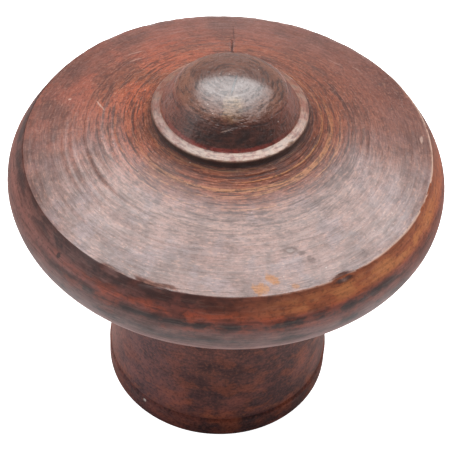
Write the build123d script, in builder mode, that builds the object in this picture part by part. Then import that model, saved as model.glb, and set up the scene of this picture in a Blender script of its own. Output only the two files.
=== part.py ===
from build123d import *
import os
from math import cos, radians, sin, tan

# Turned hardwood cupboard knob, in millimetres.
# The turning axis is Z, and the knob stands on the face that meets the door.

# Head, a disc with a half-round rim, widest at the middle of its bead
head_radius = 22.0
rim_bead_height = 28.9
rim_bead_round = 3.9

# Lip, a straight slope off the top of the bead, which ends in a sharp arris
lip_lean = 33.0
lip_length = 2.0

# Face, a cone that climbs from the arris to the ring
face_rise = 3.8

# Dome, a leaning flank below a round crown
dome_radius = 6.74
dome_flank_run = 1.46
dome_flank_rise = 2.4
dome_crown_rise = 1.35
dome_shoulder_round = 1.5

# Ring around the dome, whose top slopes up to the dome's foot
ring_width = 0.91
ring_wall = 0.76
ring_top_rise = 0.22
ring_edge_bevel = 0.15

# Foot band that meets the door, and the stem above it
foot_radius = 12.5
foot_band_height = 2.4
foot_edge_bevel = 0.15
crease_width = 0.4
crease_depth = 0.25
stem_radius = 12.35
stem_waist_radius = 11.8
stem_root_bevel = 1.2

# Hole for the fixing screw, with a drill point
screw_hole_radius = 1.75
screw_hole_depth = 16.0
drill_point_angle = 118.0

# Chips in the arris: angle from the front in degrees, width, depth
arris_chips = (
    (33.0, 2.3, 0.5),
    (329.5, 1.5, 0.25),
    (334.0, 1.1, 0.16),
    (339.5, 1.7, 0.3),
    (346.5, 1.3, 0.2),
    (72.0, 1.0, 0.16),
)
ring_chips = ((51.5, 0.9, 0.22),)
chip_slope = 50.0

# Drying crack in the far side of the face, widest at the ring
crack_angle = 180.8
crack_width = 0.3
crack_end_width = 0.1
crack_depth = 0.6
crack_length = 9.5

# Places that follow from the sizes above
stem_foot_height = foot_band_height + crease_width
rim_under_height = rim_bead_height - rim_bead_round
rim_bead_radius = head_radius - rim_bead_round
bead_top_out = rim_bead_round * cos(radians(lip_lean))
bead_top_up = rim_bead_round * sin(radians(lip_lean))
arris_radius = rim_bead_radius + bead_top_out - lip_length * sin(radians(lip_lean))
arris_height = rim_bead_height + bead_top_up + lip_length * cos(radians(lip_lean))
ring_radius = dome_radius + ring_width
ring_foot_height = arris_height + face_rise
ring_edge_height = ring_foot_height + ring_wall
dome_foot_height = ring_edge_height + ring_top_rise
dome_shoulder_radius = dome_radius - dome_flank_run
dome_shoulder_height = dome_foot_height + dome_flank_rise
dome_height = dome_shoulder_height + dome_crown_rise


def front_point(angle, radius, height):
    """Point on the knob at an angle from the front, counted towards the right."""
    return (radius * sin(radians(angle)), -radius * cos(radians(angle)), height)


with BuildPart() as knob:
    with BuildSketch(Plane.XZ) as half_section:
        with BuildLine():
            base = Line((0, 0), (foot_radius, 0))
            foot_band = Line(base @ 1, (foot_radius, foot_band_height))
            crease = Polyline(
                foot_band @ 1,
                (stem_radius - crease_depth, foot_band_height + crease_width / 2),
                (stem_radius, stem_foot_height),
            )
            stem = ThreePointArc(
                crease @ 1,
                (stem_waist_radius, (stem_foot_height + rim_under_height) / 2),
                (stem_radius, rim_under_height),
            )
            Line(stem @ 1, (rim_bead_radius, rim_under_height))
            rim_bead = CenterArc(
                (rim_bead_radius, rim_bead_height),
                rim_bead_round,
                start_angle=-90,
                arc_size=90 + lip_lean,
            )
            lip = Line(rim_bead @ 1, (arris_radius, arris_height))
            face = Line(lip @ 1, (ring_radius, ring_foot_height))
            ring_side = Line(face @ 1, (ring_radius, ring_edge_height))
            ring_top = Line(ring_side @ 1, (dome_radius, dome_foot_height))
            flank = Line(ring_top @ 1, (dome_shoulder_radius, dome_shoulder_height))
            crown = TangentArc((0, dome_height), flank @ 1, tangent=(1, 0))
            Line(crown @ 0, base @ 0)
        make_face()
        shoulder = half_section.vertices().sort_by_distance(flank @ 1)[0]
        fillet(shoulder, dome_shoulder_round)
        foot_edges = half_section.vertices().group_by(Axis.Y)[0]
        chamfer(foot_edges.sort_by(Axis.X)[-1], foot_edge_bevel)
        ring_edge = half_section.vertices().sort_by_distance(ring_side @ 1)[0]
        chamfer(ring_edge, ring_edge_bevel)
        stem_root = half_section.vertices().sort_by_distance(stem @ 1)[0]
        chamfer(stem_root, stem_root_bevel)
    revolve(axis=Axis.Z)

    # The screw hole runs up from the foot and ends in the cone of the drill
    Hole(screw_hole_radius, screw_hole_depth)
    with Locations((0, 0, screw_hole_depth)):
        Cone(
            screw_hole_radius,
            0,
            screw_hole_radius / tan(radians(drill_point_angle / 2)),
            align=(Align.CENTER, Align.CENTER, Align.MIN),
            mode=Mode.SUBTRACT,
        )

    # Each chip is a shallow scoop out of an edge, as wide and deep as stated
    for edge_radius, edge_height, chips in (
        (arris_radius, arris_height, arris_chips),
        (ring_radius, ring_edge_height, ring_chips),
    ):
        for angle, width, depth in chips:
            scoop = (width**2 / 4 + depth**2) / (2 * depth)
            out = (scoop - depth) * cos(radians(chip_slope))
            up = (scoop - depth) * sin(radians(chip_slope))
            with Locations(front_point(angle, edge_radius + out, edge_height + up)):
                Sphere(scoop, mode=Mode.SUBTRACT)

    # The crack is a slit straight into the face that narrows towards the arris
    crack_start = Vector(*front_point(crack_angle, ring_radius, ring_foot_height))
    crack_foot = Vector(*front_point(crack_angle, arris_radius, arris_height))
    crack_across = Vector(*front_point(crack_angle + 90, 1, 0))
    crack_run = crack_foot - crack_start
    crack_out = crack_across.cross(crack_run)
    with BuildSketch(Plane(crack_start, x_dir=crack_run, z_dir=crack_out)):
        Polygon(
            (0, crack_width / 2),
            (0, -crack_width / 2),
            (crack_length, -crack_end_width / 2),
            (crack_length, crack_end_width / 2),
            align=None,
        )
    extrude(amount=-crack_depth, mode=Mode.SUBTRACT)

knob.part.label = "knob"
os.makedirs("parts", exist_ok=True)
export_step(knob.part, "parts/knob.step")
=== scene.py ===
from math import cos, dist, pi, radians, sin

import bpy
from mathutils import Matrix, Vector


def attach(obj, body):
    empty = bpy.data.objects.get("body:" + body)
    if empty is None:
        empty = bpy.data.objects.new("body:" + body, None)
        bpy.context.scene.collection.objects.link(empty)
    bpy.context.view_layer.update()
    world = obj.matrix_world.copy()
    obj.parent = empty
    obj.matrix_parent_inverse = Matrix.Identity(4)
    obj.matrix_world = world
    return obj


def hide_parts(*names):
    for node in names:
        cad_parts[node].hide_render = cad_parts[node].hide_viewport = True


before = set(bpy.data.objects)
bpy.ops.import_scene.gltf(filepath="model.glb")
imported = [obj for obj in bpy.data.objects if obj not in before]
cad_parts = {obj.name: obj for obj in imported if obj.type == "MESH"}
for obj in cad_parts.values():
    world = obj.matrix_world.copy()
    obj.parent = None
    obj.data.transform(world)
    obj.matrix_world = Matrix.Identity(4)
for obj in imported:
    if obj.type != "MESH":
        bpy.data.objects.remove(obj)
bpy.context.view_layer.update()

# Knob, turned from one piece of red-brown hardwood with the grain along its axis, and
# held on its door by a screw from behind. Its half section is listed from the dome down
# to the screw hole, in millimetres, and each stretch of it has a finish of its own.

head_radius = 22.0
bead_height = 28.9
bead_round = 3.9
lip_lean = 33.0
lip_length = 2.0
face_rise = 3.8
arris_bend = 0.12
cove_reach = 1.7
cove_depth = 0.3
dome_radius = 6.74
dome_flank_run = 1.46
dome_flank_rise = 2.4
dome_crown_rise = 1.35
dome_shoulder_bend = 0.9
ring_width = 0.91
ring_wall = 0.76
ring_top_rise = 0.22
edge_bend = 0.15
foot_radius = 12.5
foot_band_height = 2.4
crease_width = 0.4
crease_depth = 0.09
stem_radius = 12.35
stem_waist_radius = 11.8
stem_root_bend = 1.2
hole_radius = 1.75
hole_depth = 16.0
drill_tip_rise = 1.05


def straight(start, end, cell):
    """Points about a cell apart from start towards end, without end itself."""
    steps = max(1, round(dist(start, end) / cell))
    return [Vector(start).lerp(Vector(end), step / steps) for step in range(steps)]


def turned_arc(center, radius, start_angle, end_angle, cell):
    """Points a cell apart along an arc, without its last one. Angles are in degrees, up from outwards."""
    turn = end_angle - start_angle
    steps = max(2, round(abs(radians(turn)) * radius / cell))
    angles = [radians(start_angle + turn * step / steps) for step in range(steps)]
    return [Vector(center) + radius * Vector((cos(angle), sin(angle))) for angle in angles]


def bend(before, corner, after, steps):
    """Points along a rounded corner, without the last one."""
    before, corner, after = Vector(before), Vector(corner), Vector(after)
    shares = [step / steps for step in range(steps)]
    return [before.lerp(corner, share).lerp(corner.lerp(after, share), share) for share in shares]


def towards(start, end, length):
    """The point that lies a length from start in the direction of end."""
    return Vector(start) + length * (Vector(end) - Vector(start)).normalized()


lip_turn = radians(lip_lean)
bead_middle = Vector((head_radius - bead_round, bead_height))
bead_top = bead_middle + bead_round * Vector((cos(lip_turn), sin(lip_turn)))
arris = bead_top + lip_length * Vector((-sin(lip_turn), cos(lip_turn)))
ring_foot = Vector((dome_radius + ring_width, arris.y + face_rise))
ring_edge = ring_foot + Vector((0, ring_wall))
dome_foot = Vector((dome_radius, ring_edge.y + ring_top_rise))
shoulder = dome_foot + Vector((-dome_flank_run, dome_flank_rise))
apex = Vector((0, shoulder.y + dome_crown_rise))
crown_round = (shoulder.x**2 + dome_crown_rise**2) / (2 * dome_crown_rise)
crown_center = apex - Vector((0, crown_round))
crown_angle = 90 - (shoulder.x - dome_shoulder_bend) / crown_round * 180 / pi
crown_edge = crown_center + crown_round * Vector((cos(radians(crown_angle)), sin(radians(crown_angle))))
flank_top = towards(shoulder, dome_foot, dome_shoulder_bend)
cove = ring_foot.lerp(arris, cove_reach / (arris.x - ring_foot.x)) - Vector((0, cove_depth))
cove_end = towards(cove, arris, cove_reach)
under_height = bead_height - bead_round
bead_foot = Vector((bead_middle.x, under_height))
stem_foot_height = foot_band_height + crease_width
stem_root_height = under_height - stem_root_bend
stem_middle = (stem_foot_height + under_height) / 2
stem_half = (under_height - stem_foot_height) / 2


def stem_point(height):
    """A point on the waisted stem at a height."""
    swell = ((height - stem_middle) / stem_half) ** 2
    return Vector((stem_waist_radius + (stem_radius - stem_waist_radius) * swell, height))


stem_rows = 44
stem_drop = stem_foot_height - stem_root_height
stem_heights = [stem_root_height + stem_drop * row / stem_rows for row in range(stem_rows)]
stem_foot = Vector((stem_radius, stem_foot_height))
under_corner = Vector((stem_radius, under_height))
under_edge = under_corner + Vector((stem_root_bend, 0))
crease_floor = Vector((stem_radius - crease_depth, foot_band_height + crease_width / 2))
band_top = Vector((foot_radius, foot_band_height))
band_foot = Vector((foot_radius, edge_bend))
foot_corner = Vector((foot_radius, 0))
foot_edge = Vector((foot_radius - edge_bend, 0))
ring_edge_in = towards(ring_edge, dome_foot, edge_bend)
ring_edge_out = towards(ring_edge, ring_foot, edge_bend)
arris_in = towards(arris, cove, arris_bend)
arris_out = towards(arris, bead_top, arris_bend)
hole_mouth = Vector((hole_radius, 0))
hole_end = Vector((hole_radius, hole_depth))
drill_tip = Vector((0, hole_depth + drill_tip_rise))
half_section = {
    "polished_dome": turned_arc(crown_center, crown_round, 90, crown_angle, cell=0.2)
    + bend(crown_edge, shoulder, flank_top, steps=8)
    + straight(flank_top, dome_foot, cell=0.18),
    "rubbed_ring": straight(dome_foot, ring_edge_in, cell=0.13)
    + bend(ring_edge_in, ring_edge, ring_edge_out, steps=4)
    + straight(ring_edge_out, ring_foot, cell=0.12),
    "scored_face": bend(ring_foot, cove, cove_end, steps=26)
    + straight(cove_end, arris_in, cell=0.13),
    "waxed_rim": bend(arris_in, arris, arris_out, steps=4)
    + straight(arris_out, bead_top, cell=0.13)
    + turned_arc(bead_middle, bead_round, lip_lean, -90, cell=0.2)
    + straight(bead_foot, under_edge, cell=0.5),
    "blotched_stem": bend(under_edge, under_corner, stem_point(stem_root_height), steps=5)
    + [stem_point(height) for height in stem_heights]
    + straight(stem_foot, crease_floor, cell=0.12)
    + straight(crease_floor, band_top, cell=0.12)
    + straight(band_top, band_foot, cell=0.3)
    + bend(band_foot, foot_corner, foot_edge, steps=4),
    "bare_underside": straight(foot_edge, hole_mouth, cell=0.9)
    + straight(hole_mouth, hole_end, cell=1.2)
    + straight(hole_end, drill_tip, cell=0.5)
    + [drill_tip],
}


class Flow:
    """A number or vector on its way through a node tree. Arithmetic on it adds the Math nodes."""

    def __init__(self, socket):
        self.socket = socket

    def calc(self, operation, *others):
        inputs = dict(enumerate((self, *others)))
        return Flow(add_node(self.socket.id_data, "ShaderNodeMath", inputs, operation=operation).outputs[0])

    def vector_calc(self, operation, *others, output="Vector"):
        inputs = dict(enumerate((self, *others)))
        made = add_node(self.socket.id_data, "ShaderNodeVectorMath", inputs, operation=operation)
        return Flow(made.outputs[output])

    def parts(self):
        made = add_node(self.socket.id_data, "ShaderNodeSeparateXYZ", {0: self})
        return [Flow(socket) for socket in made.outputs]

    def fade(self, start, end, low=0.0, high=1.0):
        """Runs smoothly from low at start to high at end, and stays there."""
        inputs = {"Value": self, "From Min": start, "From Max": end, "To Min": low, "To Max": high}
        made = add_node(self.socket.id_data, "ShaderNodeMapRange", inputs, interpolation_type="SMOOTHSTEP")
        return Flow(made.outputs[0])

    def __add__(self, other):
        return self.calc("ADD", other)

    def __sub__(self, other):
        return self.calc("SUBTRACT", other)

    def __rsub__(self, other):
        return made_by(self.socket.id_data, "ShaderNodeMath", {0: other, 1: self}, operation="SUBTRACT")

    def __mul__(self, other):
        return self.calc("MULTIPLY", other)

    def __truediv__(self, other):
        return self.calc("DIVIDE", other)

    def __neg__(self):
        return self.calc("MULTIPLY", -1.0)


def add_node(tree, kind, inputs, **settings):
    """Adds a node with its settings; an input takes a value, or a Flow that is linked to it."""
    made = tree.nodes.new(kind)
    for name, setting in settings.items():
        setattr(made, name, setting)
    for key, value in inputs.items():
        if isinstance(value, Flow):
            tree.links.new(value.socket, made.inputs[key])
        else:
            made.inputs[key].default_value = value
    return made


def join(tree, x, y, z):
    """A vector Flow made of three numbers or Flows."""
    return Flow(add_node(tree, "ShaderNodeCombineXYZ", {0: x, 1: y, 2: z}).outputs[0])


def new_group(name, kind, inputs, outputs):
    """An empty node group with named sockets: its tree, its inputs by name and its output node."""
    tree = bpy.data.node_groups.new(name, kind)
    for label, (socket_type, value) in inputs.items():
        socket = tree.interface.new_socket(label, in_out="INPUT", socket_type=socket_type)
        if value is not None:
            socket.default_value = value
    for label, socket_type in outputs.items():
        tree.interface.new_socket(label, in_out="OUTPUT", socket_type=socket_type)
    given = add_node(tree, "NodeGroupInput", {})
    result = add_node(tree, "NodeGroupOutput", {})
    return tree, {label: Flow(given.outputs[label]) for label in inputs}, result


def made_by(tree, kind, inputs, output=0, **settings):
    """The output of a new node, as a Flow."""
    return Flow(add_node(tree, kind, inputs, **settings).outputs[output])


def build_scoop():
    """A group that presses the surface out of a ball, as a chip or a dent does."""
    tree, given, result = new_group(
        "scoop",
        "GeometryNodeTree",
        {
            "Surface": ("NodeSocketGeometry", None),
            "Center": ("NodeSocketVector", (0, 0, 0)),
            "Radius": ("NodeSocketFloat", 1.0),
        },
        {"Surface": "NodeSocketGeometry"},
    )
    place = made_by(tree, "GeometryNodeInputPosition", {})
    away = place.vector_calc("SUBTRACT", given["Center"])
    inside = away.vector_calc("LENGTH", output="Value").calc("LESS_THAN", given["Radius"])
    pressed = away.vector_calc("NORMALIZE").vector_calc("MULTIPLY", join(tree, *[given["Radius"]] * 3))
    moved_to = pressed.vector_calc("ADD", given["Center"])
    moved = made_by(
        tree,
        "GeometryNodeSetPosition",
        {"Geometry": given["Surface"], "Selection": inside, "Position": moved_to},
    )
    tree.links.new(moved.socket, result.inputs["Surface"])
    return tree


def front_point(angle, radius, height):
    """A point on the knob at an angle from the front, counted towards the right."""
    return Vector((radius * sin(radians(angle)), -radius * cos(radians(angle)), height))


# Chips in the arris and the ring: angle from the front, width and depth
arris_chips = (
    (31.2, 1.2, 0.22),
    (33.2, 1.6, 0.36),
    (35.2, 1.0, 0.2),
    (329.5, 1.5, 0.25),
    (334.0, 1.1, 0.16),
    (339.5, 1.7, 0.3),
    (346.5, 1.3, 0.2),
    (72.0, 1.0, 0.16),
)
ring_chips = ((51.5, 0.9, 0.22),)
dome_dents = ((358.0, 1.4, 0.06),)
chip_slope = 50.0

# Drying crack: angle from the front, half its width at both ends, depth and length
crack_angle = 180.8
crack_half_width = 0.13
crack_end_half_width = 0.07
crack_depth = 0.3
crack_length = 9.5
crack_end = ring_foot.x + crack_length


def build_lathe(materials):
    """A tree that turns a half section, crowds its columns, wears the surface and lays the finishes on."""
    tree, given, result = new_group(
        "turned_on_the_lathe",
        "GeometryNodeTree",
        {
            "Half section": ("NodeSocketGeometry", None),
            "Columns": ("NodeSocketInt", 288),
            "Crowding": ("NodeSocketFloat", 0.5),
            "Mark pitch": ("NodeSocketFloat", 0.55),
            "Mark depth": ("NodeSocketFloat", 0.03),
            "Unevenness": ("NodeSocketFloat", 0.05),
            "Edge wear": ("NodeSocketFloat", 0.2),
            "Seed": ("NodeSocketInt", 4),
        },
        {"Knob": "NodeSocketGeometry"},
    )
    # A circle of almost no size carries the half section around, with its heights pointing down
    section = made_by(tree, "GeometryNodeMeshToCurve", {"Mesh": given["Half section"]})
    circle = {"Resolution": given["Columns"], "Radius": 1e-5}
    spindle = made_by(tree, "GeometryNodeCurvePrimitiveCircle", circle)
    turned = made_by(tree, "GeometryNodeCurveToMesh", {"Curve": spindle, "Profile Curve": section})
    closed = made_by(tree, "GeometryNodeMergeByDistance", {"Geometry": turned, "Distance": 1e-3})

    # The columns stand closer at the front and the back, where the chips and the crack are
    place = made_by(tree, "GeometryNodeInputPosition", {})
    x, y, z = place.parts()
    radius = (x * x + y * y).calc("SQRT")
    turn = x.calc("ARCTAN2", -y)
    crowded = turn - given["Crowding"] * 0.5 * (turn * 2).calc("SINE")
    spun = join(tree, radius * crowded.calc("SINE"), -(radius * crowded.calc("COSINE")), z)
    spread = made_by(tree, "GeometryNodeSetPosition", {"Geometry": closed, "Position": spun})

    # Marks of the chisel run around, and the wood has moved a little since
    seed = given["Seed"] * 7.3
    around = join(tree, x / radius * 0.8, y / radius * 0.8, radius / given["Mark pitch"])
    marks = made_by(
        tree,
        "ShaderNodeTexNoise",
        {"Vector": around, "W": z / given["Mark pitch"] + seed, "Scale": 1.0, "Detail": 1.0},
        noise_dimensions="4D",
    )
    waves = made_by(
        tree,
        "ShaderNodeTexNoise",
        {"Vector": place, "W": seed, "Scale": 0.14, "Detail": 2.0},
        noise_dimensions="4D",
    )
    marked = z.fade(bead_height + 0.1, arris.y) * radius.fade(ring_foot.x, ring_foot.x + 0.5)
    marked = marked * radius.fade(20.0, 15.0, 0.25, 1.0)
    off_base = z.fade(0.2, 2.0) * radius.fade(hole_radius + 0.5, hole_radius + 2.0)
    on_dome = z.fade(dome_foot.y + 0.5, dome_foot.y + 1.5)
    off_base = off_base.calc("MAXIMUM", on_dome)
    lift = (marks - 0.5) * given["Mark depth"] * 2 * marked
    lift = lift + (waves - 0.8) * given["Unevenness"] * 2 * off_base

    # The drying crack runs from the ring towards the arris, and narrows on its way
    crack_turn = radians(crack_angle)
    wander = (radius * 1.3).calc("SINE") * 0.04
    off_crack = (x * cos(crack_turn) + y * sin(crack_turn) + wander).calc("ABSOLUTE")
    crack_half = radius.fade(ring_foot.x, crack_end, crack_half_width, crack_end_half_width)
    open_crack = off_crack.calc("LESS_THAN", crack_half) * y.calc("GREATER_THAN", 0.0)
    open_crack = open_crack * z.calc("GREATER_THAN", arris.y)
    open_crack = open_crack * radius.calc("GREATER_THAN", ring_foot.x + 0.1)
    open_crack = open_crack * radius.calc("LESS_THAN", crack_end)
    drop = open_crack * crack_depth * radius.fade(crack_end, ring_foot.x + 3.0)

    # The arris is rubbed round, most where it was knocked at the front left
    gap = ((radius - arris.x) * (radius - arris.x) + (z - arris.y) * (z - arris.y)).calc("SQRT")
    ragged = made_by(
        tree,
        "ShaderNodeTexNoise",
        {"Vector": place, "W": seed + 3.0, "Scale": 1.1, "Detail": 2.0},
        noise_dimensions="4D",
    )
    knocked = turn.fade(radians(-38), radians(-26)) * turn.fade(radians(-6), radians(-14)) + 0.25
    rub = gap.fade(0.7, 0.0) * ragged.fade(0.35, 0.75) * knocked * given["Edge wear"]
    normal = made_by(tree, "GeometryNodeInputNormal", {})
    raised = {0: normal, "Scale": lift - rub - drop}
    offset = made_by(tree, "ShaderNodeVectorMath", raised, operation="SCALE")
    surface = made_by(tree, "GeometryNodeSetPosition", {"Geometry": spread, "Offset": offset})

    # Chips and dents
    scoop_group = build_scoop()
    for edge, chips in ((arris, arris_chips), (ring_edge, ring_chips), (flank_top, dome_dents)):
        for angle, width, depth in chips:
            ball = (width**2 / 4 + depth**2) / (2 * depth)
            out = (ball - depth) * cos(radians(chip_slope))
            up = (ball - depth) * sin(radians(chip_slope))
            center = front_point(angle, edge.x + out, edge.y + up)
            scoop = add_node(tree, "GeometryNodeGroup", {}, node_tree=scoop_group)
            tree.links.new(surface.socket, scoop.inputs["Surface"])
            scoop.inputs["Center"].default_value = center
            scoop.inputs["Radius"].default_value = ball
            surface = Flow(scoop.outputs["Surface"])

    millimetre = 0.001
    scaled = {"Geometry": surface, "Scale": (millimetre, millimetre, millimetre)}
    in_metres = made_by(tree, "GeometryNodeTransform", scaled)
    smooth = made_by(tree, "GeometryNodeSetShadeSmooth", {"Geometry": in_metres})
    real = made_by(tree, "GeometryNodeRealizeInstances", {"Geometry": smooth})

    # A face between two stretches keeps the finish of the upper one
    stretch = made_by(tree, "GeometryNodeInputNamedAttribute", {"Name": "stretch"}, data_type="FLOAT")
    for number, material in enumerate(materials):
        chosen = stretch.calc("GREATER_THAN", number - 0.25)
        finish = {"Geometry": real, "Selection": chosen, "Material": material}
        real = made_by(tree, "GeometryNodeSetMaterial", finish)
    tree.links.new(real.socket, result.inputs["Knob"])
    return tree


def build_place():
    """A group that says where a point of the surface lies on the knob, in millimetres and degrees."""
    tree, _, result = new_group(
        "place_on_knob",
        "ShaderNodeTree",
        {},
        {
            "Place": "NodeSocketVector",
            "Radius": "NodeSocketFloat",
            "Height": "NodeSocketFloat",
            "Angle": "NodeSocketFloat",
        },
    )
    in_metres = made_by(tree, "ShaderNodeTexCoord", {}, output="Object")
    place = in_metres.vector_calc("MULTIPLY", (1000, 1000, 1000))
    x, y, z = place.parts()
    found = {
        "Place": place,
        "Radius": (x * x + y * y).calc("SQRT"),
        "Height": z,
        "Angle": x.calc("ARCTAN2", -y) * (180 / pi),
    }
    for label, flow in found.items():
        tree.links.new(flow.socket, result.inputs[label])
    return tree


def build_turning_lines():
    """Rings and streaks that run around the axis, as a chisel leaves them. They run from 0 to 1."""
    tree, given, result = new_group(
        "turning_lines",
        "ShaderNodeTree",
        {
            "Pitch": ("NodeSocketFloat", 0.5),
            "Length": ("NodeSocketFloat", 25.0),
            "Seed": ("NodeSocketFloat", 0.0),
        },
        {"Lines": "NodeSocketFloat"},
    )
    spot = use_group(tree, groups["place"], {})
    x, y, _ = spot["Place"].parts()
    lines = made_by(
        tree,
        "ShaderNodeTexNoise",
        {
            "Vector": join(tree, x / given["Length"], y / given["Length"], spot["Radius"] / given["Pitch"]),
            "W": spot["Height"] / given["Pitch"] + given["Seed"],
            "Scale": 1.0,
            "Detail": 2.0,
            "Roughness": 0.6,
        },
        noise_dimensions="4D",
    )
    tree.links.new(lines.fade(0.3, 0.7).socket, result.inputs["Lines"])
    return tree


def build_specks():
    """Specks such as open pores, long along the axis: dots on an end, short streaks on a side."""
    tree, given, result = new_group(
        "specks",
        "ShaderNodeTree",
        {
            "Size": ("NodeSocketFloat", 0.25),
            "Length": ("NodeSocketFloat", 1.0),
            "Rareness": ("NodeSocketFloat", 0.6),
            "Seed": ("NodeSocketFloat", 0.0),
        },
        {"Specks": "NodeSocketFloat"},
    )
    spot = use_group(tree, groups["place"], {})
    x, y, z = spot["Place"].parts()
    size = given["Size"] * 2
    grain = made_by(
        tree,
        "ShaderNodeTexNoise",
        {
            "Vector": join(tree, x / size, y / size, z / size / given["Length"]),
            "W": given["Seed"],
            "Scale": 1.0,
            "Detail": 1.0,
        },
        noise_dimensions="4D",
    )
    tree.links.new(grain.fade(given["Rareness"], given["Rareness"] + 0.07).socket, result.inputs["Specks"])
    return tree


def build_blotches():
    """Patches where the polish is thick, thin or dark. They run from 0 to 1."""
    tree, given, result = new_group(
        "blotches",
        "ShaderNodeTree",
        {
            "Size": ("NodeSocketFloat", 3.0),
            "Length": ("NodeSocketFloat", 1.0),
            "Seed": ("NodeSocketFloat", 0.0),
        },
        {"Blotches": "NodeSocketFloat"},
    )
    spot = use_group(tree, groups["place"], {})
    x, y, z = spot["Place"].parts()
    size = given["Size"]
    cloud = made_by(
        tree,
        "ShaderNodeTexNoise",
        {
            "Vector": join(tree, x / size, y / size, z / size / given["Length"]),
            "W": given["Seed"],
            "Scale": 1.0,
            "Detail": 3.0,
            "Roughness": 0.6,
        },
        noise_dimensions="4D",
    )
    tree.links.new(cloud.fade(0.3, 0.7).socket, result.inputs["Blotches"])
    return tree


def build_mark():
    """One stain, dent or scratch, at an angle from the front and a radius. Its mask is 1 in the middle."""
    tree, given, result = new_group(
        "mark",
        "ShaderNodeTree",
        {
            "Angle": ("NodeSocketFloat", 0.0),
            "Radius": ("NodeSocketFloat", 15.0),
            "Length": ("NodeSocketFloat", 1.0),
            "Width": ("NodeSocketFloat", 1.0),
            "Turned": ("NodeSocketFloat", 0.0),
        },
        {"Mark": "NodeSocketFloat"},
    )
    spot = use_group(tree, groups["place"], {})
    x, y, _ = spot["Place"].parts()
    turn = given["Angle"] * (pi / 180)
    off_x = x - given["Radius"] * turn.calc("SINE")
    off_y = y + given["Radius"] * turn.calc("COSINE")
    heading = given["Turned"] * (pi / 180)
    along = off_x * heading.calc("COSINE") + off_y * heading.calc("SINE")
    across = off_y * heading.calc("COSINE") - off_x * heading.calc("SINE")
    ragged = made_by(tree, "ShaderNodeTexNoise", {"Vector": spot["Place"], "Scale": 2.5, "Detail": 2.0})
    along = along / given["Length"] * 2
    across = across / given["Width"] * 2
    away = (along * along + across * across).calc("SQRT") + (ragged - 0.5) * 0.9
    tree.links.new(away.fade(1.0, 0.5).socket, result.inputs["Mark"])
    return tree


def use_group(tree, group, values):
    """Places a node group in a tree; it returns the group's outputs by name."""
    made = add_node(tree, "ShaderNodeGroup", {}, node_tree=group)
    for label, value in values.items():
        if isinstance(value, Flow):
            tree.links.new(value.socket, made.inputs[label])
        else:
            made.inputs[label].default_value = value
    return {socket.name: Flow(socket) for socket in made.outputs}


groups = {}
for group_name, builder in (
    ("place", build_place),
    ("lines", build_turning_lines),
    ("specks", build_specks),
    ("blotches", build_blotches),
    ("mark", build_mark),
):
    groups[group_name] = builder()


class Finish:
    """A wood finish in the making: its colour is laid on in coats, from the bare wood up."""

    def __init__(self, name, color, roughness, coat_roughness=0.34, gloss=0.5):
        self.material = bpy.data.materials.new(name)
        self.material.use_nodes = True
        self.tree = self.material.node_tree
        self.shader = self.tree.nodes["Principled BSDF"]
        self.shader.inputs["Coat IOR"].default_value = 1.7
        self.shader.inputs["Coat Roughness"].default_value = coat_roughness
        self.shader.inputs["Specular IOR Level"].default_value = gloss
        spot = use_group(self.tree, groups["place"], {})
        self.radius, self.height, self.angle = spot["Radius"], spot["Height"], spot["Angle"]
        self.color = color
        self.roughness = roughness
        self.polish = 0.0
        self.relief = None

    def lines(self, pitch, length=25.0, seed=0.0):
        values = {"Pitch": pitch, "Length": length, "Seed": seed}
        return use_group(self.tree, groups["lines"], values)["Lines"]

    def specks(self, size, length, rareness, seed=0.0):
        values = {"Size": size, "Length": length, "Rareness": rareness, "Seed": seed}
        return use_group(self.tree, groups["specks"], values)["Specks"]

    def blotches(self, size, length=1.0, seed=0.0):
        values = {"Size": size, "Length": length, "Seed": seed}
        return use_group(self.tree, groups["blotches"], values)["Blotches"]

    def mark(self, angle, radius, length, width, turned=0.0):
        values = {"Angle": angle, "Radius": radius, "Length": length, "Width": width, "Turned": turned}
        return use_group(self.tree, groups["mark"], values)["Mark"]

    def side(self, angle, reach):
        """A mask that is 1 at an angle from the front and fades out a reach to either side."""
        return ((self.angle - angle) * (pi / 180)).calc("COSINE").fade(cos(radians(reach)), 1.0)

    def band(self, low, high, blur=0.3):
        """A mask that is 1 between two heights."""
        return self.height.fade(low - blur, low + blur) * self.height.fade(high + blur, high - blur)

    def coat(self, color, mask):
        """Lays a colour over what is there, where the mask says so."""
        made = self.tree.nodes.new("ShaderNodeMix")
        made.data_type = "RGBA"
        for index, value in ((0, mask), (6, self.color), (7, color)):
            if isinstance(value, Flow):
                self.tree.links.new(value.socket, made.inputs[index])
            else:
                made.inputs[index].default_value = (*value, 1) if index else value
        self.color = Flow(made.outputs[2])

    def rougher(self, mask, amount):
        """Makes the surface duller by an amount, or glossier where the amount is negative."""
        self.roughness = mask * amount + self.roughness

    def raised(self, mask, height):
        """Adds relief of a height in millimetres."""
        step = mask * height
        self.relief = step if self.relief is None else self.relief + step

    def done(self):
        """Joins colour, roughness, polish and relief to the shader."""
        found = {"Base Color": self.color, "Roughness": self.roughness, "Coat Weight": self.polish}
        for label, flow in found.items():
            self.tree.links.new(flow.socket, self.shader.inputs[label])
        in_millimetres = {"Height": self.relief, "Distance": 0.001}
        bump = made_by(self.tree, "ShaderNodeBump", in_millimetres, output="Normal")
        self.tree.links.new(bump.socket, self.shader.inputs["Normal"])
        return self.material


# Colours of the wood and what lies on it
bare_wood = (0.195, 0.050, 0.025)
orange_wood = (0.33, 0.088, 0.029)
dark_polish = (0.055, 0.017, 0.012)
black_wax = (0.014, 0.009, 0.009)
rubbed_wood = (0.50, 0.33, 0.26)
dust_and_glint = (0.75, 0.68, 0.62)


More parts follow.
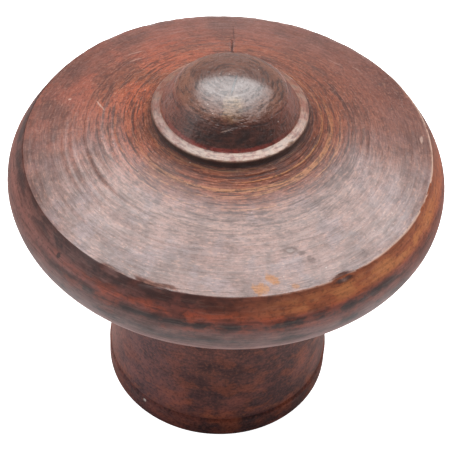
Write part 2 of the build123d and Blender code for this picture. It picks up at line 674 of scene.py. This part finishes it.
def dome_finish():
    """Dark, hand-polished dome with a fine crack and scuffs, pale specks in its crown that are painted
    glints, a painted highlight along its far edge and painted shade on its near flank.
    """
    dome = Finish("polished_dome", (0.075, 0.030, 0.021), roughness=0.42, coat_roughness=0.20, gloss=0.4)
    worn_brown = (0.20, 0.082, 0.050)
    yellowed = (0.36, 0.23, 0.11)
    red_flank = (0.18, 0.052, 0.034)
    red_line = (0.22, 0.036, 0.026)
    cloud = dome.blotches(1.6, length=1.5, seed=1.0)
    flank = 1.0 - dome.height.fade(shoulder.y - 0.6, shoulder.y + 0.2)
    middle = dome.radius.fade(4.6, 2.4)
    outer = 1.0 - middle
    near = dome.side(0, 75)
    dome.coat(worn_brown, (cloud * 0.6 + 0.3) * outer)
    dome.coat(worn_brown, middle * dome.side(180, 140) * (cloud * 0.3 + 0.4))
    dome.coat(yellowed, dome.mark(4, 3.8, length=2.4, width=3.4) * (cloud * 0.4 + 0.15))
    dome.coat(red_flank, flank * (cloud * 0.3 + 0.6))
    dome.coat(bare_wood, dome.side(180, 150) * flank * 0.4)
    # Black over the near flank is painted shade, since the flank there faces away from the light.
    dome.coat(black_wax, near * flank * (dome.blotches(1.1, length=0.6, seed=6.0) * 0.4 + 0.5))
    dome.coat(red_line, dome.side(-5, 80) * dome.height.fade(dome_foot.y + 0.4, dome_foot.y + 0.2) * 0.8)
    grain = dome.lines(0.28, length=1.2, seed=5.0)
    dome.coat(black_wax, grain.fade(0.45, 0.1) * 0.55)
    fine = dome.blotches(0.22, length=2.0, seed=4.0)
    dome.coat(black_wax, fine.fade(0.4, 0.0) * 0.4)
    # Pale specks here are painted glints in the polish of the crown, laid on in a dust colour.
    dome.coat(dust_and_glint, dome.specks(0.16, length=1.0, rareness=0.74, seed=3.0) * 0.6)
    dome.coat(rubbed_wood, dome.mark(357, 5.6, length=1.2, width=0.16, turned=15) * 0.2)
    # A pale line along the far edge of the crown is a painted highlight, laid on in the colour of rubbed
    # wood.
    far_edge_highlight = dome.side(180, 120) * dome.band(shoulder.y - 0.38, shoulder.y - 0.24, 0.05)
    dome.coat(rubbed_wood, far_edge_highlight * cloud.fade(0.0, 0.5) * 0.5)
    crack = dome.mark(12, 1.2, length=3.8, width=0.3, turned=80)
    dome.coat(black_wax, crack * 0.9)
    dome.polish = (grain * 0.45 + fine * 0.35 + 0.4) * (middle * 0.85 + 0.3)
    dome.polish = dome.polish * (flank * (near * 0.4 - 0.7) + 1.0)
    dome.polish = dome.polish * (1.0 - dome.side(180, 170) * outer * 0.95)
    dome.rougher(cloud, 0.10)
    dome.rougher(dome.side(180, 150) * outer, 0.2)
    dome.raised(crack, -0.06)
    dome.raised(fine, 0.016)
    dome.raised(grain, 0.032)
    dome.raised(dome.blotches(1.1, length=1.0, seed=8.0), 0.12)
    return dome.done()


def ring_finish():
    """Narrow ring around the dome, rubbed on its top edge, with a painted sheen on the front of its top and
    painted shade at its foot.
    """
    ring = Finish("rubbed_ring", bare_wood, roughness=0.46)
    worn_top = (0.36, 0.24, 0.16)
    pale_sheen_top = (0.60, 0.46, 0.34)
    cloud = ring.blotches(0.8, seed=4.0)
    ring.coat(worn_top, cloud * 0.5)
    ring.coat(dark_polish, ring.side(-70, 90) * 0.3)
    on_top = ring.height.fade(ring_edge.y - 0.2, ring_edge.y)
    # Pale on the front of the top: partly rubbed wood, partly a painted sheen where the top faces the
    # light.
    ring.coat(pale_sheen_top, ring.side(15, 80) * on_top * cloud * 0.45)
    # Black at the foot of the ring is painted shade, strongest at the front.
    at_foot = ring.height.fade(ring_edge.y - 0.05, ring_edge.y - 0.3)
    foot_shade = at_foot * (ring.side(-10, 110) * 0.5 + 0.4)
    ring.coat(black_wax, foot_shade)
    grain = ring.lines(0.2, length=0.8, seed=6.0)
    ring.coat(dark_polish, grain.fade(0.5, 0.1) * 0.5)
    ring.coat(dark_polish, cloud.fade(0.6, 1.0) * 0.4)
    ring.polish = (cloud * 0.4 + grain * 0.3 + 0.25) * (1.0 - foot_shade)
    ring.rougher(cloud, 0.1)
    ring.raised(cloud, 0.05)
    ring.raised(grain, 0.012)
    return ring.done()


def face_finish():
    """Sloping face with rings of the chisel near the middle and streaked end grain further out."""
    face = Finish("scored_face", bare_wood, roughness=0.50, coat_roughness=0.28, gloss=0.3)
    red_wood = (0.40, 0.080, 0.034)
    hazy_sheen = (0.26, 0.155, 0.12)
    pinkish_sheen = (0.33, 0.13, 0.09)
    bluish = (0.15, 0.11, 0.13)
    golden_crest_glint = (0.64, 0.30, 0.11)
    pale_streak = (0.50, 0.22, 0.13)
    amber = (0.44, 0.19, 0.065)
    inner = face.radius.fade(17.0, 10.0)
    front = face.side(5, 125)
    behind = 1.0 - front
    patches = face.blotches(4.0, seed=2.0)
    small_patches = face.blotches(1.3, seed=7.0)
    orange = face.side(-60, 120) * 0.35 + 0.25 - front * 0.1
    face.coat(orange_wood, inner * orange * (small_patches * 0.5 + 0.6))
    face.coat(red_wood, face.side(-100, 130) * patches.fade(0.3, 0.8) * 0.5)
    # Hazy pale wood over the outer front: partly a haze in the polish, partly a painted sheen of the
    # overhead light.
    face.coat(hazy_sheen, front * face.radius.fade(10.5, 13.5) * 0.5)
    face.coat(dark_polish, face.side(-48, 60) * 0.3 + face.side(45, 50) * 0.15)
    # Pinkish patches further out at the front are a painted sheen.
    face.coat(pinkish_sheen, front * face.radius.fade(13.0, 17.0) * small_patches.fade(0.4, 0.8) * 0.4)
    face.coat(dark_polish, face.radius.fade(14.5, 18.5) * 0.25 + front * face.radius.fade(10.0, 13.0) * 0.1)
    cool_patches = face.blotches(3.0, seed=12.0).fade(0.4, 1.0)
    face.coat(bluish, front * cool_patches * face.radius.fade(9.0, 12.0) * 0.4)
    face.coat(dark_polish, patches.fade(0.45, 0.0) * 0.35)
    face.coat(dark_polish, small_patches.fade(0.4, 0.0) * 0.4)
    face.coat(dark_polish, face.radius.fade(11.5, 8.5) * (face.side(100, 130) * 0.2 + 0.1))

    # Long rings, deepest near the middle and on the right, over short streaks everywhere
    rings = face.lines(0.40)
    ring_zone = face.radius.fade(14.5, 10.5) * (face.side(60, 150) * 0.7 + 0.3)
    face.coat(dark_polish, rings.fade(0.42, 0.08) * ring_zone * 0.9)
    # Golden lines on the crests of the rings are a painted highlight, where the crests catch the light;
    # strongest at the front.
    face.coat(golden_crest_glint, rings.fade(0.68, 0.85) * ring_zone * (front * 0.25 + 0.1))
    dashes = face.lines(0.28, length=3.5, seed=4.0)
    face.coat(dark_polish, dashes.fade(0.35, 0.1) * face.radius.fade(16.5, 12.0) * 0.8)
    streaks = face.lines(0.19, length=0.6, seed=11.0)
    face.coat(dark_polish, streaks.fade(0.4, 0.1) * face.radius.fade(13.0, 17.0, 0.6, 0.3))
    face.coat(pale_streak, streaks.fade(0.75, 1.0) * 0.25)
    # Black where the face meets the ring is painted shade.
    face.coat(black_wax, face.radius.fade(8.5, 7.8) * 0.5)
    grains = face.blotches(0.24, length=4.0)
    face.coat(dark_polish, grains.fade(0.35, 0.05) * (0.55 - front * 0.2))
    face.coat(rubbed_wood, grains.fade(0.75, 1.0) * behind * 0.25)
    # Pale along the arris on the right: partly rubbed wood, partly a painted glint where the edge catches
    # the light.
    worn_arris_glint = face.radius.fade(arris.x - 0.3, arris.x - 0.15) * face.side(80, 75)
    face.coat(rubbed_wood, worn_arris_glint * grains.fade(0.1, 0.5) * 0.35)
    # Pale specks here are painted glints, laid on in a dust colour.
    face.coat(dust_and_glint, face.specks(0.15, length=1.0, rareness=0.71, seed=1.0) * patches * 0.25)

    # Amber spots: angle from the front, radius, length, width, heading, strength
    dull = face.radius.fade(8.8, 8.0)
    for *place, strength in (
        (10.6, 19.5, 1.9, 1.4, 0.0, 0.85),
        (14.2, 18.7, 1.9, 1.0, -25.0, 0.9),
        (19.8, 19.7, 0.9, 0.6, 0.0, 0.65),
    ):
        stain = face.mark(*place) * (grains * 0.4 + 0.6) * strength
        face.coat(amber, stain)
        dull = dull + stain

    # Pale scratches, given in the same way
    for *place, strength in (
        (94.7, 19.3, 1.6, 0.4, 85.0, 0.6),
        (261.0, 13.0, 2.6, 0.2, -61.0, 0.6),
        (256.6, 16.6, 0.4, 0.35, 0.0, 0.9),
        (222.0, 15.2, 2.2, 0.2, 20.0, 0.5),
        (226.0, 14.0, 1.8, 0.18, 24.0, 0.5),
        (138.0, 15.8, 2.4, 0.2, -28.0, 0.5),
        (131.0, 17.2, 1.6, 0.2, -35.0, 0.5),
    ):
        face.coat(rubbed_wood, face.mark(*place) * strength)

    # Dark marks, with the chipped arris and the two stretches of the crack at the end
    for *place, strength in (
        (22.0, 16.3, 1.7, 0.9, 8.0, 0.6),
        (25.2, 16.8, 0.9, 0.6, 20.0, 0.6),
        (27.1, 17.7, 1.2, 0.9, -35.0, 0.55),
        (29.2, 18.0, 0.4, 0.4, 0.0, 0.4),
        (28.5, 15.7, 2.8, 0.2, 24.0, 0.45),
        (298.0, 9.9, 0.6, 0.3, 0.0, 0.7),
        (33.0, 20.3, 2.4, 0.4, 33.0, 0.9),
        (180.8, 11.0, 8.0, 0.34, 90.0, 0.9),
        (180.3, 15.5, 5.0, 0.22, 93.0, 0.6),
    ):
        stain = face.mark(*place) * strength
        face.coat(dark_polish, stain)
        dull = dull + stain * 0.6
    face.coat(dust_and_glint, face.mark(22.0, 16.3, length=1.1, width=0.45, turned=8.0) * 0.15)

    worn = face.radius.fade(8.4, 13.0) * 0.95 + face.side(-75, 90) * face.radius.fade(8.0, 9.0) * 0.3
    worn = worn + face.side(50, 60) * face.radius.fade(11.0, 14.0) * 0.15
    worn = worn + behind * face.radius.fade(12.0, 17.0) * 0.7 - front * 0.08
    grit = grains * 0.1 + streaks * 0.12 + dashes * 0.25 + patches * 0.2 + small_patches * 0.15 + 0.33
    face.polish = worn * grit * (1.0 - dull).calc("MAXIMUM", 0.0)
    face.rougher(patches, 0.08)
    face.raised(dashes, 0.045)
    face.raised(rings * ring_zone, 0.065)
    face.raised(streaks, 0.018)
    face.raised(grains, 0.014)
    return face.done()


def rim_finish():
    """Rim, waxed dark under the arris and worn to orange wood above its widest part."""
    rim = Finish("waxed_rim", (0.20, 0.050, 0.034), roughness=0.52, coat_roughness=0.4, gloss=0.15)
    side_brown = (0.34, 0.100, 0.055)
    plum_sheen = (0.15, 0.080, 0.075)
    red_wear = (0.36, 0.066, 0.026)
    orange_wear = (0.38, 0.104, 0.036)
    golden_sheen = (0.50, 0.20, 0.060)
    brown_wax = (0.085, 0.045, 0.040)
    hazy_sheen = (0.34, 0.18, 0.16)

    # Heights are counted from the rim's widest part
    wide = bead_height
    cloud = rim.blotches(2.6, length=0.5, seed=3.0)
    broken = rim.blotches(1.8, length=0.45, seed=8.0)
    right = rim.side(52, 62)
    front = rim.side(5, 65)
    across = rim.side(92, 55) + rim.side(-88, 55)
    off_sides = 1.0 - across * 0.7
    rim.coat(side_brown, across * 0.5)
    rim.coat(dark_polish, cloud.fade(1.0, 0.0) * (1.0 - across * 0.5) * 0.75)
    # Plum over the front left is a painted sheen from the light on the left.
    rim.coat(plum_sheen, rim.side(-60, 60) * 0.5)
    rim.coat(red_wear, rim.band(wide, wide + 2.8) * front * broken.fade(0.3, 1.0) * 0.65)
    rim.coat(orange_wear, rim.band(wide + 2.0, wide + 4.0, 0.35) * right * (cloud * 0.5 + 0.45))
    # A golden band on the right of the lip is a painted sheen.
    gold_sheen_band = rim.band(wide + 2.2, wide + 3.3) * rim.side(45, 40)
    rim.coat(golden_sheen, gold_sheen_band * cloud.fade(0.2, 0.8) * 0.45)
    under_arris = rim.height.fade(wide + 2.0, wide + 3.2) * (1.0 - right)
    rim.coat(black_wax, under_arris * (broken.fade(0.1, 0.7) * 0.45 + 0.35))
    rim.coat(brown_wax, rim.height.fade(wide + 1.5, wide + 0.3) * (1.0 - right * 0.3) * off_sides * 0.65)
    dark_band = rim.band(wide + 1.05, wide + 1.75) * (broken.fade(0.9, 0.2) * 0.5 + 0.4)
    rim.coat(black_wax, dark_band * off_sides)
    rim.coat(black_wax, rim.band(wide - 0.7, wide + 0.1, 0.4) * cloud.fade(0.9, 0.1) * off_sides * 0.7)
    # Hazy pale wood below the widest part is a painted reflection of the white floor.
    rim.coat(hazy_sheen, rim.height.fade(wide - 0.7, wide - 2.1) * 0.7)
    lines = rim.lines(0.22, length=2.4, seed=2.0)
    rim.coat(dark_polish, lines.fade(0.4, 0.1) * (1.0 - right * 0.5) * 0.5)
    rim.coat(rubbed_wood, lines.fade(0.75, 1.0) * 0.06)
    grains = rim.blotches(0.35, length=0.7, seed=1.0)
    rim.coat(black_wax, grains.fade(0.45, 0.05) * 0.35)
    chip = rim.mark(33, 20.35, length=2.4, width=0.5, turned=33)
    rim.coat(black_wax, chip * rim.height.fade(wide + 3.1, wide + 3.5) * 0.9)
    speck = rim.mark(-45, 21.2, length=0.6, width=0.4, turned=-45)
    rim.coat(black_wax, speck * rim.height.fade(wide + 1.1, wide + 1.6) * 0.8)
    rim.coat(dark_polish, rim.height.fade(wide + 3.0, wide + 3.6) * 0.3)
    # Pale along the arris on the right: partly rubbed wood, partly a painted glint where the edge catches
    # the light.
    worn_arris_glint = rim.height.fade(arris.y - 0.14, arris.y - 0.04) * rim.side(80, 75)
    rim.coat(rubbed_wood, worn_arris_glint * broken.fade(0.1, 0.4) * 0.9)
    rim.polish = (cloud * 0.2 + lines * 0.04 + 0.18) * rim.height.fade(wide + 1.6, wide - 0.9, 1.0, 1.6)
    rim.polish = rim.polish * (1.0 - across * 0.85)
    rim.rougher(cloud, 0.1)
    rim.rougher(across, 0.2)
    rim.raised(lines, 0.014)
    rim.raised(grains, 0.014)
    return rim.done()


def stem_finish():
    """Stem and foot, blotched dark over red wood, and darker in the crease between them."""
    stem = Finish("blotched_stem", (0.24, 0.066, 0.046), roughness=0.60, coat_roughness=0.4, gloss=0.12)
    blue_black = (0.052, 0.031, 0.034)
    dark_plum = (0.055, 0.030, 0.032)
    red_patch = (0.38, 0.092, 0.040)
    side_brown = (0.36, 0.14, 0.09)
    grey_plum_sheen = (0.20, 0.11, 0.12)
    worn_crease = (0.36, 0.11, 0.05)
    dark_foot = (0.070, 0.040, 0.034)
    warm_grain = (0.36, 0.11, 0.06)
    band_height = foot_band_height
    cloud = stem.blotches(3.6, length=0.7, seed=5.0)
    small = stem.blotches(1.9, length=0.7, seed=6.0)
    stem.coat(blue_black, cloud.fade(0.9, 0.1) * 0.8)
    stem.coat(dark_plum, small.fade(0.9, 0.0) * 0.55)
    stem.coat(red_patch, stem.blotches(2.8, length=0.6, seed=9.0).fade(0.45, 0.95) * 0.55)
    stem.coat(dark_polish, stem.height.fade(4.0, 10.0) * stem.side(-20, 80) * 0.5)
    stem.coat(side_brown, stem.side(-100, 50) * 0.7 + stem.side(90, 60) * 0.25)
    # Grey plum over the front left is a painted sheen from the light on the left.
    stem.coat(grey_plum_sheen, stem.side(-55, 50) * 0.3)
    broken = stem.blotches(1.5, seed=2.0)
    # Darker in the crease between foot and stem, most at the front.
    in_crease = stem.band(band_height, stem_foot_height) * (stem.side(0, 80) * 0.7 + 0.3)
    stem.coat(black_wax, in_crease * (broken * 0.15 + 0.15))
    stem.coat(worn_crease, stem.band(band_height + 0.5, band_height + 1.0) * broken.fade(0.4, 0.8) * 0.5)
    on_foot = stem.height.fade(band_height + 1.0, band_height - 0.6) * stem.side(0, 110)
    stem.coat(dark_foot, on_foot * (broken * 0.2 + 0.1))
    lines = stem.lines(0.2, length=1.2, seed=4.0)
    stem.coat(black_wax, lines.fade(0.4, 0.1) * 0.2)
    grains = stem.blotches(0.3, seed=3.0)
    stem.coat(black_wax, grains.fade(0.5, 0.05) * 0.45)
    stem.coat(warm_grain, grains.fade(0.65, 1.0) * 0.3)
    fleck = stem.mark(322, 12.5, length=0.5, width=0.5)
    stem.coat(dust_and_glint, fleck * stem.band(band_height - 0.5, band_height - 0.1, 0.12) * 0.8)
    stem.polish = (cloud * 0.2 + 0.1) * stem.height.fade(band_height + 0.1, band_height + 1.1)
    stem.rougher(cloud, 0.1)
    stem.raised(lines, 0.012)
    stem.raised(grains, 0.014)
    return stem.done()


def underside_finish():
    """Sawn underside of the foot and the drilled hole, bare wood gone grey-brown."""
    under = Finish("bare_underside", (0.26, 0.14, 0.08), roughness=0.65)
    grey_brown = (0.14, 0.07, 0.045)
    cloud = under.blotches(2.5, seed=8.0)
    under.coat(grey_brown, cloud * 0.6)
    lines = under.lines(0.9, length=9.0, seed=9.0)
    under.coat(dark_polish, lines.fade(0.4, 0.1) * 0.5)
    pores = under.specks(0.2, length=6.0, rareness=0.58, seed=6.0)
    under.coat(black_wax, pores * 0.6)
    under.polish = cloud * 0.05
    under.rougher(cloud, 0.1)
    under.raised(lines, 0.03)
    under.raised(pores, -0.03)
    return under.done()


finishes = [dome_finish(), ring_finish(), face_finish(), rim_finish(), stem_finish(), underside_finish()]

section_mesh = bpy.data.meshes.new("half_section")
section_points = [Vector((point.x, -point.y, 0)) for stretch in half_section.values() for point in stretch]
section_mesh.from_pydata(section_points, [(n, n + 1) for n in range(len(section_points) - 1)], [])
stretch_of_point = [number for number, stretch in enumerate(half_section.values()) for _ in stretch]
section_mesh.attributes.new("stretch", "FLOAT", "POINT").data.foreach_set("value", stretch_of_point)
knob = bpy.data.objects.new("turned_knob", section_mesh)
bpy.context.scene.collection.objects.link(knob)

lathe = knob.modifiers.new("lathe", "NODES")
lathe.node_group = build_lathe(finishes)
lathe_settings = {"Columns": 288, "Crowding": 0.5, "Mark pitch": 0.55, "Mark depth": 0.03, "Seed": 4}
for item in lathe.node_group.interface.items_tree:
    if item.name in lathe_settings:
        lathe[item.identifier] = lathe_settings[item.name]
turned_mesh = bpy.data.meshes.new_from_object(knob.evaluated_get(bpy.context.evaluated_depsgraph_get()))
knob.modifiers.remove(lathe)
knob.data = turned_mesh
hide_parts("knob")
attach(knob, "root")

# Floor, a white sheet of paper that the knob stands on. It glows evenly to the camera,
# so that it stays white in the picture. To the knob it glows only further out, so that
# it lights the underside of the rim and leaves the foot dark.

floor_half = 1.5
floor_mesh = bpy.data.meshes.new("white_floor")
floor_corners = [(x * floor_half, y * floor_half, 0) for x, y in ((-1, -1), (1, -1), (1, 1), (-1, 1))]
floor_mesh.from_pydata(floor_corners, [], [(0, 1, 2, 3)])
floor = bpy.data.objects.new("white_floor", floor_mesh)
bpy.context.scene.collection.objects.link(floor)
floor_paper = bpy.data.materials.new("white_paper")
floor_paper.use_nodes = True
paper_shader = floor_paper.node_tree.nodes["Principled BSDF"]
paper_shader.inputs["Base Color"].default_value = (0.9, 0.9, 0.9, 1)
paper_shader.inputs["Roughness"].default_value = 0.9
paper_shader.inputs["Emission Color"].default_value = (1, 1, 1, 1)

# Metres from the knob's axis, where the glow begins and where it is full
glow_start = 0.019
glow_full = 0.05
glow_strength = 0.5
seen = made_by(floor_paper.node_tree, "ShaderNodeLightPath", {}, output="Is Camera Ray")
place_on_floor = made_by(floor_paper.node_tree, "ShaderNodeTexCoord", {}, output="Object")
from_knob = place_on_floor.vector_calc("LENGTH", output="Value")
glow = from_knob.fade(glow_start, glow_full, 0.0, glow_strength).calc("MAXIMUM", seen)
floor_paper.node_tree.links.new(glow.socket, paper_shader.inputs["Emission Strength"])
floor_mesh.materials.append(floor_paper)

# Light, one large softbox overhead, a little to the right and behind the knob,
# and a weaker one on the left, in a dim room.


def hang_softbox(name, place, aim, size, power):
    """Hangs a rectangular light at a place, turned to face its aim."""
    lamp = bpy.data.lights.new(name, "AREA")
    lamp.shape = "RECTANGLE"
    lamp.size, lamp.size_y = size
    lamp.energy = power
    box = bpy.data.objects.new(name, lamp)
    bpy.context.scene.collection.objects.link(box)
    box.location = place
    box.rotation_euler = (Vector(aim) - Vector(place)).to_track_quat("-Z", "Y").to_euler()


hang_softbox("overhead_softbox", (0.06, 0.19, 0.55), aim=(0.06, 0.09, 0.03), size=(0.76, 0.6), power=6.8)
hang_softbox("window_on_the_left", (-0.55, -0.12, 0.30), aim=(0, 0, 0.02), size=(0.4, 0.4), power=1.3)
room_grey = (0.07, 0.07, 0.08, 1)
room = bpy.data.worlds.new("dim_room")
room.use_nodes = True
room.node_tree.nodes["Background"].inputs["Color"].default_value = room_grey
bpy.context.scene.world = room
bpy.context.scene.view_settings.view_transform = "Standard"

# Camera, held above and in front of the knob and tipped a little to one side.

lens_mm = 102.12
sensor_mm = 36.0
look_down = radians(46.62)
look_right = radians(0.15)
roll = radians(3.29)
eye = Vector((0, -0.09331, 0.11924))

forward = Vector((sin(look_right) * cos(look_down), cos(look_right) * cos(look_down), -sin(look_down)))
level = forward.cross(Vector((0, 0, 1))).normalized()
upright = level.cross(forward)
side = cos(roll) * level + sin(roll) * upright
top = cos(roll) * upright - sin(roll) * level
lens = bpy.data.cameras.new("photo_camera")
lens.lens = lens_mm
lens.sensor_width = sensor_mm
lens.clip_start = 0.001
camera = bpy.data.objects.new("photo_camera", lens)
bpy.context.scene.collection.objects.link(camera)
camera.matrix_world = Matrix.Translation(eye) @ Matrix((side, top, -forward)).transposed().to_4x4()
bpy.context.scene.camera = camera
